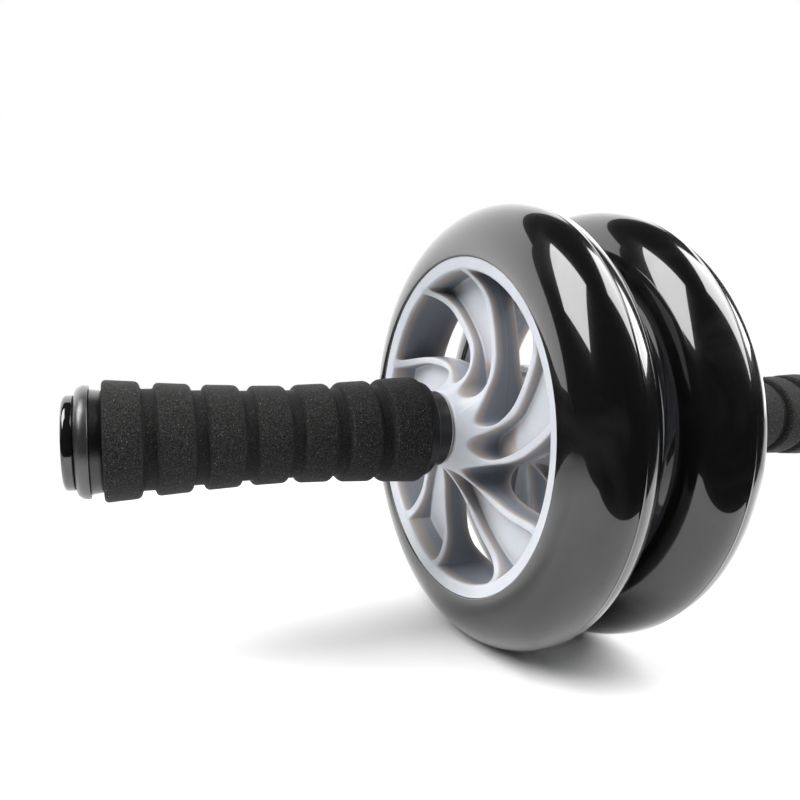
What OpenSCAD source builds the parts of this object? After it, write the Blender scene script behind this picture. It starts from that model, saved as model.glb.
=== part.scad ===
// Ab wheel roller: two free wheels on one steel axle, with a foam grip at each end
// The axle lies along X, the origin is halfway between the wheels, and Z is up

/* [Wheels] */
// Diameter of a wheel over its tyre
wheel_d = 180; // [172:1:200]
// Width of a tyre at its widest line
tyre_w = 31.2; // [30.6:0.2:36]
// Height of the tyre's crown above its widest line
tyre_crown_h = 18; // [16:0.5:20]
// How far below the ring's edge the oval of the tyre's sides would close
tyre_tuck = 14.6; // [10:0.2:18]
// Wall of the hollow tyre
tyre_wall = 4.5; // [3.5:0.5:6]
// Clear gap between the two tyres
wheel_gap = 12.5; // [10:0.5:30]
// Turn of the left wheel at rest, in degrees
left_turn = 46; // [0:1:71]
// Turn of the right wheel at rest, in degrees
right_turn = 40; // [0:1:71]

/* [Rim] */
// Outer diameter of the ring that shows beside the tyre
rim_d = 137.2; // [130:0.2:142]
// Width of the ring's face, measured along a radius
ring_face_w = 4.9; // [4:0.1:6]
// Length of the ring from face to face
ring_l = 29.8; // [26:0.2:30.2]
// How far the ring's inner edge lies behind its outer edge
ring_setback = 1.2; // [0.5:0.1:2]
// Width of the edge between the ring's face and its inner wall
ring_edge_w = 0.2; // [0.1:0.1:1]
// Depth of the groove that holds the tyre's beads
bead_groove = 2; // [1:0.1:2.5]
// Width of the lip on each side of that groove
rim_lip = 3; // [2:0.1:4]
// Gap all round the tyre's beads
bead_gap = 0.04; // [0.02:0.01:0.1]

/* [Spokes] */
// Number of spokes
spoke_n = 5; // [4:1:6]
// Thickness of the wheel over its spokes
spoke_l = 11.2; // [9:0.2:14]
// Thickness of the web between the two ribs of a spoke
web_t = 2.4; // [1.6:0.2:4]
// Thickness of a rib, measured round the wheel
rib_t = 3.7; // [3:0.1:5]
// Angle between the two ribs of a spoke
rib_spread = 30; // [26:1:34]
// Angle that a spoke sweeps back from the hub to the ring
spoke_sweep = 51; // [30:1:60]
// Radius of the hollow curve between a spoke and the ring
ring_flare_r = 15.6; // [13:0.2:20]
// Radius where the windows start
window_start_r = 18.4; // [17:0.2:22]
// Length over which a window opens to its full arc
mouth_l = 8; // [4:0.5:12]
// Radius of a channel's rounded end, on the channel's middle line
channel_start_r = 17.5; // [17:0.1:20]
// Radius where that rounded end meets the side of the channel nearer to the hub
channel_near_r = 19; // [18.5:0.1:22]
// Radius where it meets the other side
channel_far_r = 25.3; // [23:0.1:27]
// Angle that the near side of a channel gains from its outer part to its rounded end
channel_near_widen = 10.3; // [6:0.1:11]
// Angle that the far side gains there
channel_far_widen = 7.4; // [4:0.1:8]
// Radius inside which a channel widens
channel_widen_r = 35; // [30:0.5:40]

/* [Hub] */
// Diameter of the hub's end
hub_end_d = 30.4; // [29:0.2:33]
// Distance from the wheel's middle to the hub's outer end
hub_out = 20; // [18:0.2:24]
// Radius of the hollow curve between the hub and a spoke
hub_flare_r = 22.5; // [20:0.5:26]
// Wall of a bush
bush_wall = 3; // [2:0.2:4]
// Length of a bush under its flange
bush_l = 13; // [8:0.5:15]
// Diameter of a bush's flange
bush_flange_d = 25; // [22:0.5:26]
// Thickness of a bush's flange
bush_flange_t = 1.5; // [1:0.1:2]
// How far a bush's flange stands out of the hub
bush_proud = 0.3; // [0.1:0.1:0.6]

/* [Axle] */
// Diameter of the steel axle
axle_d = 12; // [10:0.5:13]
// Chamfer on the axle's ends
axle_chamfer = 0.8; // [0.4:0.1:1.2]
// Thickness of the spacer between the two wheels
spacer_t = 3.1; // [2:0.1:6]
// Diameter of that spacer
spacer_d = 24; // [20:0.5:26]
// Thickness of the thrust washer beside each hub
thrust_t = 1; // [0.5:0.1:2]
// Diameter of that washer
thrust_d = 28; // [25:0.5:30]
// Radial clearance of a bush on the axle
run_gap = 0.05; // [0.02:0.01:0.1]
// Clearance along the axle beside each hub
side_gap = 0.1; // [0.05:0.05:0.3]
// Radial clearance of a piece that is pushed on or pushed in
fit_gap = 0.02; // [0.01:0.01:0.05]

/* [Handle] */
// Diameter of the tube inside the foam
core_d = 26; // [25:0.5:28]
// Diameter of the sleeve beside the hub
sleeve_d = 30.4; // [28:0.2:32]
// Length of that sleeve
sleeve_l = 6.7; // [4:0.1:12]
// Diameter of the collar that stops the foam
collar_d = 38; // [34:0.5:40]
// Length of that collar
collar_l = 4; // [2:0.5:6]
// Radius on the collar's outer edge
collar_round = 1; // [0.5:0.1:1.8]
// Diameter of the neck at the foam's outer end
neck_d = 34.6; // [32:0.2:36]
// Diameter of the neck beside the end ring
neck_end_d = 35.6; // [33:0.1:37]
// Length of the neck
neck_l = 4; // [3:0.1:8]
// Wall between the axle's end and the screw's washer
seat_t = 3; // [2:0.5:5]
// Distance from the axle's end to the neck's end
seat_depth = 12; // [10:0.5:15]
// Radius of the mouth that the end cap plugs
mouth_r = 10.5; // [10:0.1:11]
// Inner and outer wall of the hollow tube
core_wall = 2; // [1.5:0.1:2.2]
// Thickness of the ribs inside the tube
core_rib_t = 1.6; // [1:0.1:3]
// Number of those ribs
core_rib_n = 4; // [3:1:6]

/* [Foam grip] */
// Number of bands on a grip
band_n = 7; // [5:1:9]
// Distance from the grip's inner end to the middle of its first groove
first_groove = 17.2; // [15:0.1:18]
// Distance from one groove to the next
band_pitch = 16.75; // [14:0.05:18]
// Distance from the last groove's middle to the grip's outer end
end_band_l = 14.45; // [12:0.05:18]
// Diameter of the middle band
band_mid_d = 36.5; // [34:0.1:39]
// Extra diameter that the grip's outer end has over the middle band
outer_rise = 5.5; // [2:0.1:7]
// Extra diameter that the grip's inner end has over the middle band
inner_rise = 6; // [2:0.1:7]
// Depth of a groove below the bands beside it
groove_h = 1.8; // [1.4:0.1:2.6]
// Width of a groove at its floor
groove_w = 4.7; // [2:0.1:6]
// Radius on the edges of a band
band_round = 1.5; // [0.8:0.1:2.2]

/* [End cap] */
// Diameter of the end ring
end_ring_d = 38.3; // [36:0.1:41]
// Thickness of the end ring
end_ring_t = 4.4; // [4:0.1:8]
// Radius on the end ring's outer edge
end_ring_round = 3.2; // [1:0.1:3.4]
// Diameter of the cap
cap_d = 32.4; // [30:0.1:34]
// Thickness of the cap's head
cap_t = 3.8; // [2:0.1:5]
// Radius on the cap's edge
cap_round = 1.6; // [0.5:0.1:1.8]
// Length of the cap's skirt
cap_skirt_l = 9; // [7:0.5:9.4]
// Wall of the cap's skirt
cap_skirt_wall = 2; // [1.5:0.1:3]

/* [Screw] */
// Diameter of the screw
screw_d = 6; // [5:0.5:6]
// Length of the screw in the axle
screw_grip_l = 14; // [10:1:20]
// Diameter of the screw's head
screw_head_d = 10.5; // [9:0.5:12]
// Height of the screw's head
screw_head_h = 3.3; // [2.5:0.1:3.6]
// Width of the head's socket across its flats
socket_w = 4; // [3:0.5:5]
// Depth of that socket
socket_h = 2; // [1:0.1:2.4]
// Diameter of the washer under the head
washer_d = 16; // [13:0.5:18]
// Thickness of that washer
washer_t = 1.2; // [0.8:0.1:1.6]

/* [Hidden] */
$fn = 96;
overcut = 1;

// Wheels
wheel_r = wheel_d / 2;
wheel_x = (tyre_w + wheel_gap) / 2;
tyre_mid_r = wheel_r - tyre_crown_h;
tyre_step = 5;

// Rim
rim_r = rim_d / 2;
ring_in_r = rim_r - ring_face_w;
ring_half = ring_l / 2;
groove_r = rim_r - bead_groove;
spoke_half = spoke_l / 2;
side_steps = 16;
end_steps = 6;

// Hub and axle
axle_r = axle_d / 2;
bush_r = axle_r + run_gap + bush_wall;
bush_flange_r = bush_flange_d / 2;
hub_in = wheel_x - spacer_t / 2 - side_gap - bush_proud;
hub_end_r = hub_end_d / 2;
seat_r = axle_r + fit_gap;

// Places along the axle, from the middle outwards
thrust_x = wheel_x + hub_out + bush_proud + side_gap;
sleeve_x = thrust_x + thrust_t;
collar_x = sleeve_x + sleeve_l;
foam_x = collar_x + collar_l;
foam_l = first_groove + (band_n - 2) * band_pitch + end_band_l;
neck_x = foam_x + foam_l;
end_ring_x = neck_x + neck_l;
cap_x = end_ring_x + end_ring_t;
axle_end_x = end_ring_x - seat_depth;
washer_x = axle_end_x + seat_t;
head_x = washer_x + washer_t;

// Grip
core_r = core_d / 2;
foam_bore_r = core_r + fit_gap;
band_mid_r = band_mid_d / 2;
grip_curve = 1.6;

// Screw
screw_r = screw_d / 2;
screw_hole_r = screw_r + fit_gap;

// Angle of a spoke's middle line at a radius: it sweeps back evenly with the logarithm of the radius
function sweep_deg(r) = -spoke_sweep * ln(r / 40) / ln(ring_in_r / window_start_r);
function rib_deg(r) = rib_t / r * 180 / PI;
// Share of its full arc that a window has reached, from nothing at its start to one
function mouth_share(r) =
    r >= window_start_r + mouth_l ? 1 : sqrt(1 - pow(1 - (r - window_start_r) / mouth_l, 2));
function wheel_point(r, deg) = [r * cos(deg), r * sin(deg)];
// Radii down one side of an opening, closer together near its start
function side_radii(start) =
    [for (i = [0:side_steps]) start + (rim_r - start) * (1 - cos(90 * i / side_steps))];
// Point beside the spokes' middle line at a radius
function swept_point(r, deg) = wheel_point(r, deg + sweep_deg(r));
// Outline of a window whose full arc at each radius is its pitch less one rib
function window_outline(middle, spread) =
    let (
        radii = side_radii(window_start_r),
        half = [for (r = radii) (spread - rib_deg(r)) / 2 * mouth_share(r)]
    )
    concat(
        [for (i = [0:side_steps]) swept_point(radii[i], middle + half[i])],
        [for (i = [side_steps:-1:1]) swept_point(radii[i], middle - half[i])]
    );
// Half arc of a channel on one side, which widens towards the hub
function channel_deg(r, widen) =
    let (share = max(channel_widen_r - r, 0) / (channel_widen_r - channel_start_r))
    (rib_spread - rib_deg(r)) / 2 + widen * pow(share, 1.3);
// Outline of a channel: its two sides, and the rounded end that joins them beside the hub
function channel_outline(middle) =
    let (
        near = side_radii(channel_near_r),
        far = side_radii(channel_far_r),
        near_deg = channel_deg(channel_near_r, channel_near_widen),
        far_deg = channel_deg(channel_far_r, channel_far_widen),
        slope = (channel_far_r - channel_near_r) / 2,
        bend = (channel_far_r + channel_near_r) / 2 - channel_start_r
    )
    concat(
        [for (r = far) swept_point(r, middle + channel_deg(r, channel_far_widen))],
        [for (i = [side_steps:-1:0])
            swept_point(near[i], middle - channel_deg(near[i], channel_near_widen))],
        [for (i = [1 - end_steps:end_steps - 1]) let (t = i / end_steps)
            swept_point(channel_start_r + slope * t + bend * t * t,
                middle + (far_deg - near_deg) / 2 + (far_deg + near_deg) / 2 * sin(90 * t))]
    );
// How far a hollow curve of this radius reaches sideways while it rises by this height
function flare_reach(radius, rise) = sqrt(2 * radius * rise - rise * rise);
// Point of the tyre's section: one half oval above its widest line and another below it
function tyre_point(half_w, crown_h, low_h, deg) =
    [tyre_mid_r + (sin(deg) > 0 ? crown_h : low_h) * sin(deg), half_w * cos(deg)];
// Points of that section from one bead over the crown to the other
function tyre_curve(half_w, crown_h, low_h, bead_r) =
    let (start = asin((bead_r - tyre_mid_r) / low_h), steps = 2 * ceil((90 - start) / tyre_step))
    [for (i = [0:steps]) tyre_point(half_w, crown_h, low_h, start + (180 - 2 * start) * i / steps)];
// Radius of the grip's bands at this place along the grip, counted from its inner end
function band_r(x) =
    let (t = 2 * x / foam_l - 1)
    band_mid_r + (t > 0 ? outer_rise : inner_rise) / 2 * pow(abs(t), grip_curve);

// Turns a shape that is drawn along Z to lie along X, starting at x
module along_x(x = 0) {
    translate([x, 0, 0]) rotate([0, 90, 0]) children();
}

// A plain ring along the axle
module axle_ring(x, length, outer_r, inner_r) {
    along_x(x) difference() {
        cylinder(h = length, r = outer_r);
        translate([0, 0, -overcut]) cylinder(h = length + 2 * overcut, r = inner_r);
    }
}

module left_side() {
    mirror([1, 0, 0]) children();
}

// One half of the rim's section, from the wheel's middle to the hub's end
module rim_half_section(hub_l) {
    hub_rise = hub_l - spoke_half;
    ring_rise = ring_half - ring_setback - spoke_half;
    hub_flare_x = hub_end_r + flare_reach(hub_flare_r, hub_rise);
    ring_flare_x = ring_in_r - flare_reach(ring_flare_r, ring_rise);
    top = max(hub_l, ring_half) + overcut;
    difference() {
        translate([bush_r, 0]) square([rim_r - bush_r, hub_l]);
        translate([hub_flare_x, spoke_half]) square([ring_flare_x - hub_flare_x, top]);
        translate([hub_flare_x, spoke_half + hub_flare_r]) circle(r = hub_flare_r);
        translate([ring_flare_x, spoke_half + ring_flare_r]) circle(r = ring_flare_r);
        polygon([
            [ring_in_r, ring_half - ring_setback], [rim_r, ring_half],
            [rim_r + overcut, ring_half], [rim_r + overcut, top], [ring_in_r, top],
        ]);
        translate([groove_r, -overcut]) square([bead_groove + overcut, ring_half - rim_lip + overcut]);
        translate([0, hub_l - bush_flange_t + bush_proud]) square([bush_flange_r + fit_gap, top]);
    }
}

// The windows and channels of one wheel, as prisms along Z
module spoke_openings() {
    pitch = 360 / spoke_n;
    for (i = [0:spoke_n - 1]) {
        translate([0, 0, -ring_l]) linear_extrude(2 * ring_l)
            polygon(window_outline(pitch * (i + 0.5), pitch - rib_spread));
        for (side = [0, 1]) mirror([0, 0, side]) translate([0, 0, web_t / 2]) linear_extrude(ring_l)
            polygon(channel_outline(pitch * i));
    }
}

// A rim with its hub's outer end towards +X, about its own middle
module wheel_rim() {
    color("lightsteelblue") along_x() difference() {
        rotate_extrude() {
            rim_half_section(hub_out);
            mirror([0, 1]) rim_half_section(hub_in);
        }
        intersection() {
            translate([0, 0, -ring_l]) cylinder(h = 2 * ring_l, r = ring_in_r - ring_edge_w);
            spoke_openings();
        }
    }
}

// A hollow tyre whose two beads hook into the rim's groove
module tyre() {
    half_w = tyre_w / 2;
    low_h = tyre_mid_r - rim_r + tyre_tuck;
    lip_r = rim_r + bead_gap;
    toe_r = groove_r + bead_gap;
    toe_x = ring_half - rim_lip - bead_gap;
    outer = tyre_curve(half_w, tyre_crown_h, low_h, lip_r);
    inner = tyre_curve(half_w - tyre_wall, tyre_crown_h - tyre_wall, low_h - tyre_wall, toe_r);
    color("#18181a") along_x() rotate_extrude()
        polygon(concat(
            outer,
            [[lip_r, -toe_x], [toe_r, -toe_x]],
            [for (i = [len(inner) - 1:-1:0]) inner[i]],
            [[toe_r, toe_x], [lip_r, toe_x]]
        ));
}

// A flanged bush that is pushed into a hub's end at x, with its flange outwards
module bush(x) {
    color("ivory") along_x(x) difference() {
        union() {
            translate([0, 0, -bush_flange_t]) cylinder(h = bush_flange_t, r = bush_flange_r);
            translate([0, 0, -bush_flange_t - bush_l])
                cylinder(h = bush_l + bush_flange_t / 2, r = bush_r - fit_gap);
        }
        translate([0, 0, -bush_flange_t - bush_l - overcut])
            cylinder(h = bush_flange_t + bush_l + 2 * overcut, r = axle_r + run_gap);
    }
}

// The inner end of a hub faces the other wheel
module inner_bush() {
    translate([wheel_x - hub_in - bush_proud, 0, 0]) mirror([1, 0, 0]) bush(0);
}

module axle() {
    length = 2 * axle_end_x;
    color("silver") along_x(-axle_end_x) difference() {
        rotate_extrude() polygon([
            [0, 0], [axle_r - axle_chamfer, 0], [axle_r, axle_chamfer],
            [axle_r, length - axle_chamfer], [axle_r - axle_chamfer, length], [0, length],
        ]);
        for (z = [-overcut, length - screw_grip_l - overcut])
            translate([0, 0, z]) cylinder(h = screw_grip_l + 2 * overcut, r = screw_hole_r);
    }
}

module centre_spacer() {
    color("gainsboro") axle_ring(-spacer_t / 2, spacer_t, spacer_d / 2, seat_r);
}

module thrust_washer() {
    color("gainsboro") axle_ring(thrust_x, thrust_t, thrust_d / 2, seat_r);
}

// A disc along Z whose far edge is rounded
module round_disc_section(radius, thickness, edge) {
    intersection() {
        union() {
            square([radius - edge, thickness]);
            square([radius, thickness - edge]);
            translate([radius - edge, thickness - edge]) circle(r = edge);
        }
        square([radius, thickness]);
    }
}

// The moulded tube inside the grip: sleeve, collar, hollow tube and neck in one piece
module handle_core() {
    hollow_in_r = seat_r + core_wall;
    hollow_out_r = core_r - core_wall;
    hollow_l = axle_end_x - sleeve_x - seat_t;
    color("#151517") difference() {
        union() {
            axle_ring(sleeve_x, collar_x - sleeve_x, sleeve_d / 2, seat_r);
            along_x(collar_x) mirror([0, 0, 1]) translate([0, 0, -collar_l]) rotate_extrude() difference() {
                round_disc_section(collar_d / 2, collar_l, collar_round);
                translate([-overcut, -overcut]) square([seat_r + overcut, collar_l + 2 * overcut]);
            }
            axle_ring(foam_x, foam_l, core_r, seat_r);
            along_x(neck_x) difference() {
                cylinder(h = neck_l, r1 = neck_d / 2, r2 = neck_end_d / 2);
                translate([0, 0, -overcut]) cylinder(h = neck_l + 2 * overcut, r = seat_r);
            }
            along_x(axle_end_x) difference() {
                cylinder(h = seat_t, r = core_r - core_wall / 2);
                translate([0, 0, -overcut]) cylinder(h = seat_t + 2 * overcut, r = screw_hole_r);
            }
        }
        along_x(washer_x) cylinder(h = seat_depth + neck_l, r = mouth_r + fit_gap);
        along_x(sleeve_x - overcut) difference() {
            cylinder(h = hollow_l + overcut, r = hollow_out_r);
            translate([0, 0, -overcut]) cylinder(h = hollow_l + 3 * overcut, r = hollow_in_r);
            for (i = [0:core_rib_n - 1]) rotate([0, 0, 360 * i / core_rib_n])
                translate([0, -core_rib_t / 2, -overcut]) cube([core_r, core_rib_t, hollow_l + 3 * overcut]);
        }
    }
}

// Place of a groove's middle along the grip
function groove_at(i) = first_groove + (i - 1) * band_pitch;
// One band of the grip, as a section with rounded outer edges
module band_section(from, to) {
    radius = band_r((from + to) / 2);
    translate([foam_bore_r, from + band_round])
        square([radius - foam_bore_r, to - from - 2 * band_round]);
    translate([foam_bore_r, from]) square([radius - band_round - foam_bore_r, to - from]);
    for (x = [from + band_round, to - band_round])
        translate([radius - band_round, x]) circle(r = band_round);
}

module foam_grip() {
    color("#1c1c1c") along_x(foam_x) rotate_extrude() {
        for (i = [0:band_n - 1]) {
            from = i == 0 ? 0 : groove_at(i) + groove_w / 2;
            to = i == band_n - 1 ? foam_l : groove_at(i + 1) - groove_w / 2;
            band_section(from, to);
        }
        for (i = [1:band_n - 1]) {
            half = band_pitch / 2;
            floor_r = min(band_r(groove_at(i) - half), band_r(groove_at(i) + half)) - groove_h;
            translate([foam_bore_r, groove_at(i) - groove_w / 2 - band_round])
                square([floor_r - foam_bore_r, groove_w + 2 * band_round]);
        }
    }
}

module end_ring() {
    color("#3a3a3c") along_x(end_ring_x) rotate_extrude() difference() {
        round_disc_section(end_ring_d / 2, end_ring_t, end_ring_round);
        translate([-overcut, -overcut]) square([mouth_r + fit_gap + overcut, end_ring_t + 2 * overcut]);
    }
}

module end_cap() {
    color("#0c0c0d") along_x(cap_x) {
        rotate_extrude() round_disc_section(cap_d / 2, cap_t, cap_round);
        translate([0, 0, -cap_skirt_l]) difference() {
            cylinder(h = cap_skirt_l + cap_t / 2, r = mouth_r - fit_gap);
            translate([0, 0, -overcut]) cylinder(h = cap_skirt_l + overcut, r = mouth_r - cap_skirt_wall);
        }
    }
}

module screw() {
    shank_l = screw_grip_l + seat_t + washer_t;
    color("darkgray") along_x(head_x) difference() {
        union() {
            translate([0, 0, -shank_l]) cylinder(h = shank_l + screw_head_h / 2, r = screw_r);
            cylinder(h = screw_head_h / 2, r = screw_head_d / 2);
            translate([0, 0, screw_head_h / 2])
                cylinder(h = screw_head_h / 2, r1 = screw_head_d / 2, r2 = screw_head_d / 3);
        }
        translate([0, 0, screw_head_h - socket_h])
            cylinder(h = socket_h + overcut, d = socket_w / cos(30), $fn = 6);
    }
}

module screw_washer() {
    color("darkgray") axle_ring(washer_x, washer_t, washer_d / 2, screw_hole_r);
}

axle();
centre_spacer();
left_side() translate([wheel_x, 0, 0]) rotate([left_turn, 0, 0]) wheel_rim();  // left_wheel_rim
left_side() translate([wheel_x, 0, 0]) tyre();  // left_tyre
left_side() bush(wheel_x + hub_out + bush_proud);  // left_outer_bush
left_side() inner_bush();  // left_inner_bush
left_side() thrust_washer();  // left_thrust_washer
translate([wheel_x, 0, 0]) rotate([right_turn, 0, 0]) wheel_rim();  // right_wheel_rim
translate([wheel_x, 0, 0]) tyre();  // right_tyre
bush(wheel_x + hub_out + bush_proud);  // right_outer_bush
inner_bush();  // right_inner_bush
thrust_washer();  // right_thrust_washer
left_side() handle_core();  // left_handle_core
left_side() foam_grip();  // left_foam_grip
left_side() end_ring();  // left_end_ring
left_side() end_cap();  // left_end_cap
left_side() screw();  // left_screw
left_side() screw_washer();  // left_screw_washer
handle_core();  // right_handle_core
foam_grip();  // right_foam_grip
end_ring();  // right_end_ring
end_cap();  // right_end_cap
screw();  // right_screw
screw_washer();  // right_screw_washer
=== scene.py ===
import bpy
import bmesh
import math
from mathutils import Vector, Matrix, geometry, noise


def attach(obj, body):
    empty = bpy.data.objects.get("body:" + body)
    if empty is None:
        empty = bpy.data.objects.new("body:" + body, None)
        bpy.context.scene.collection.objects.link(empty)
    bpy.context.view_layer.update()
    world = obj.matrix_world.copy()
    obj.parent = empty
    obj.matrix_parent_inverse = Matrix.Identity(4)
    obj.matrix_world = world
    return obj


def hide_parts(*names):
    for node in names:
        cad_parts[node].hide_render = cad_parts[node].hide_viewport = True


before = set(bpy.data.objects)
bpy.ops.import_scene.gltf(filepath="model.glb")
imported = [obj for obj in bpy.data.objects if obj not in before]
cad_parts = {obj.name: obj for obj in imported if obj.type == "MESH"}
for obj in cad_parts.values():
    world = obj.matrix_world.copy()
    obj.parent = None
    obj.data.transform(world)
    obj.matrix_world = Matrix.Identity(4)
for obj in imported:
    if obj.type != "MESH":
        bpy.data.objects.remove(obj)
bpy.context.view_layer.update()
mm = 0.001
sides = {"left": -1, "right": 1}
print("frame loaded,", len(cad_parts), "nodes")


# mesh helpers

weld = {"pole": 1e-7, "half": 2e-7, "fifth": 2e-6}   # distances in metres under which vertices merge

# an eased edge in five steps: its distance from each of the two faces, as a share of the edge's radius
quarter = [(1 - math.cos(math.radians(a)), 1 - math.sin(math.radians(a))) for a in (0, 22, 45, 67, 90)]


def within(value, most=1):
    return min(max(value, 0), most)


def newPiece(name, bm, material, body, replaced):
    mesh = bpy.data.meshes.new(name)
    bm.to_mesh(mesh)
    bm.free()
    for face in mesh.polygons:
        face.use_smooth = True
    piece = bpy.data.objects.new(name, mesh)
    bpy.context.scene.collection.objects.link(piece)
    mesh.materials.append(material)
    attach(piece, body)
    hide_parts(replaced)
    return piece


def turned(profile, steps):
    # a closed outline of (place along the axle, radius) in mm, spun round the axle
    bm = bmesh.new()
    verts = [bm.verts.new((x * mm, 0, r * mm)) for x, r in profile]
    edges = [bm.edges.new((a, b)) for a, b in zip(verts, verts[1:] + verts[:1]) if a.co.z or b.co.z]
    bmesh.ops.spin(bm, geom=verts + edges, cent=(0, 0, 0), axis=(1, 0, 0), dvec=(0, 0, 0),
                   angle=2 * math.pi, steps=steps, use_merge=True, use_duplicate=False)
    bmesh.ops.remove_doubles(bm, verts=bm.verts, dist=weld["pole"])
    bmesh.ops.recalc_face_normals(bm, faces=bm.faces)
    return bm


def rounded(corners, steps):
    # a closed outline from (x, r, radius) corners, with an arc wherever the radius isn't 0
    out = []
    count = len(corners)
    for i, (x, r, radius) in enumerate(corners):
        here = Vector((x, r))
        if not radius:
            out.append(tuple(here))
            continue
        before = (Vector(corners[i - 1][:2]) - here).normalized()
        after = (Vector(corners[(i + 1) % count][:2]) - here).normalized()
        half = before.angle(after) / 2
        reach = radius / math.tan(half)
        middle = here + (before + after).normalized() * (radius / math.sin(half))
        start = here + before * reach - middle
        stop = here + after * reach - middle
        sweep = start.angle_signed(stop)
        for k in range(steps + 1):
            turn = -sweep * k / steps
            arm = Vector((start.x * math.cos(turn) - start.y * math.sin(turn),
                          start.x * math.sin(turn) + start.y * math.cos(turn)))
            out.append(tuple(middle + arm))
    return out


def mirrored(profile, side):
    return [(side * x, r) for x, r in profile]


# rims: one fifth of a rim is skinned from offset loops round its window and its channel, then spun round

rim = {
    "spokes": 5,
    "sweep": 51, "sweepFrom": 18.4, "sweepMiddle": 40,   # spiral of the spokes
    "ribT": 3.7, "ribSpread": 30,
    "windowStart": 18.4, "mouth": 8, "evenShare": 0.45,
    "channelStart": 17.5, "channelNear": 19, "channelFar": 25.3,   # rounded end of a channel, beside the hub
    "nearWiden": 10.3, "farWiden": 7.4, "widenR": 35, "widenPower": 1.3,
    "halfSpoke": 5.6, "halfWeb": 1.2, "flaresMeetR": 40,
    "ringWall": 63.5, "ringInner": 63.7, "ringOuter": 68.6,
    "ringHalf": 14.9, "ringSetback": 1.2, "ringFlare": 15.6,
    "hubR": 15.2, "hubFlare": 22.5, "hubOut": 20, "hubIn": 19.9,
    "recessR": 12.52, "recessDepth": 1.2, "boreR": 9.05,
    "grooveR": 66.6, "lipW": 3,
    "edge": 0.65, "ringEdge": 0.45, "soft": 0.9, "corner": 1.3, "floorEdge": 0.8, "floorStep": 0.12,
    "nick": 0.3, "nickBend": 0.09,
    "draft": 0.2, "mouldLine": 0.07, "mouldLineHalf": 0.3,
    # rows of a window's wall, as shares of its height, the draft, the mould line's height and its half width
    "wallRows": ((0.5, 0.5, 0, 0), (0, 1, 0, 2.2), (0, 1, 0, 1), (0, 1, 0.8, 0.4), (0, 1, 1, 0)),
    "mouthSteps": 10, "sideSteps": 20, "nearSteps": 5, "farSteps": 11,
    "cornerSteps": 4, "windowArc": 14, "channelArc": 9, "shortest": 1e-6,
    "swirlShares": (0.12, 0.26, 0.42, 0.6, 0.8, 1),
    "hubRows": (0.9, 0.6, 0.35, 0.15, -0.05, -0.3, -0.6),   # past the hub's radius
    "turn": {"left": 46, "right": 40}, "middle": 21.85,
}
# how the painted shade on the walls grows with depth, and which walls count as steep
walls = {"deep": 5, "past": 1, "steepFrom": 1.3, "steepSlope": 1.5, "pocketMost": 0.6}
pitch = 360 / rim["spokes"]


def polar(r, degrees):
    angle = math.radians(degrees)
    return Vector((r * math.cos(angle), r * math.sin(angle)))


def flareReach(radius, rise):
    return math.sqrt(2 * radius * rise - rise * rise)


def softMin(a, b, width):
    blend = max(width - abs(a - b), 0) / width
    return min(a, b) - blend * blend * width / 4


def rimTop(r, hub):
    # half depth of the rim at this radius, before its edges are eased
    spoke = rim["halfSpoke"]
    if r < rim["flaresMeetR"]:
        radius, face = rim["hubFlare"], hub
        run = rim["hubR"] + flareReach(radius, hub - spoke) - r
    else:
        radius = rim["ringFlare"]
        inner = rim["ringHalf"] - rim["ringSetback"]
        run = r - rim["ringInner"] + flareReach(radius, inner - spoke)
        slope = rim["ringSetback"] / (rim["ringOuter"] - rim["ringInner"])
        face = inner + (r - rim["ringInner"]) * slope
    run = within(run, radius)
    rise = radius - math.sqrt(radius * radius - run * run)
    return softMin(spoke + rise, face, rim["soft"])


def sweepAngle(r):
    return -rim["sweep"] * math.log(r / rim["sweepMiddle"]) / math.log(rim["ringInner"] / rim["sweepFrom"])


def halfArc(r, spread):
    # half arc of an opening between two ribs, in degrees
    return (spread - math.degrees(rim["ribT"] / r)) / 2


def windowRadii(cut):
    # radii down one side of a window, from its tip at the hub to near the ring
    steps = rim["mouthSteps"]
    radii = [rim["windowStart"] + rim["mouth"] * (1 - math.cos(math.pi / 2 * i / steps)) for i in range(steps + 1)]
    first, last = radii[-1], rim["ringWall"] - cut
    steps, even = rim["sideSteps"], rim["evenShare"]
    for i in range(1, steps + 1):
        t = i / steps
        radii.append(first + (last - first) * (even * t + (1 - even) * math.sin(math.pi / 2 * t)))
    return radii


def windowSide(way, spread, cut):
    # radius and angle from the spokes' middle line, down one side of a window
    spots = []
    for i, r in enumerate(windowRadii(cut)):
        share = math.sin(math.pi / 2 * min(i / rim["mouthSteps"], 1))
        spots.append((r, way * halfArc(r, spread) * share))
    return spots


def channelHalf(r, spread, widen):
    # half arc of a channel, which widens towards the hub
    share = max(rim["widenR"] - r, 0) / (rim["widenR"] - rim["channelStart"])
    return halfArc(r, spread) + widen * share ** rim["widenPower"]


def channelSide(way, spread, cut):
    # the same down one side of a channel, from the middle of its rounded end
    near, far = rim["channelNear"], rim["channelFar"]
    nearHalf = channelHalf(near, spread, rim["nearWiden"])
    farHalf = channelHalf(far, spread, rim["farWiden"])
    slope, bend = (far - near) / 2, (far + near) / 2 - rim["channelStart"]
    first, widen, steps = near, rim["nearWiden"], rim["nearSteps"]
    if way > 0:
        first, widen, steps = far, rim["farWiden"], rim["farSteps"]
    spots = []
    for i in range(steps + 1):
        t = way * i / steps
        spots.append((rim["channelStart"] + slope * t + bend * t * t,
                      (farHalf - nearHalf) / 2 + (farHalf + nearHalf) / 2 * math.sin(math.pi / 2 * t)))
    radii = windowRadii(cut)[steps:]
    stretch = (radii[-1] - first) / (radii[-1] - radii[0])
    for r in radii[1:]:
        r = first + (r - radii[0]) * stretch
        spots.append((r, way * channelHalf(r, spread, widen)))
    return spots


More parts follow.
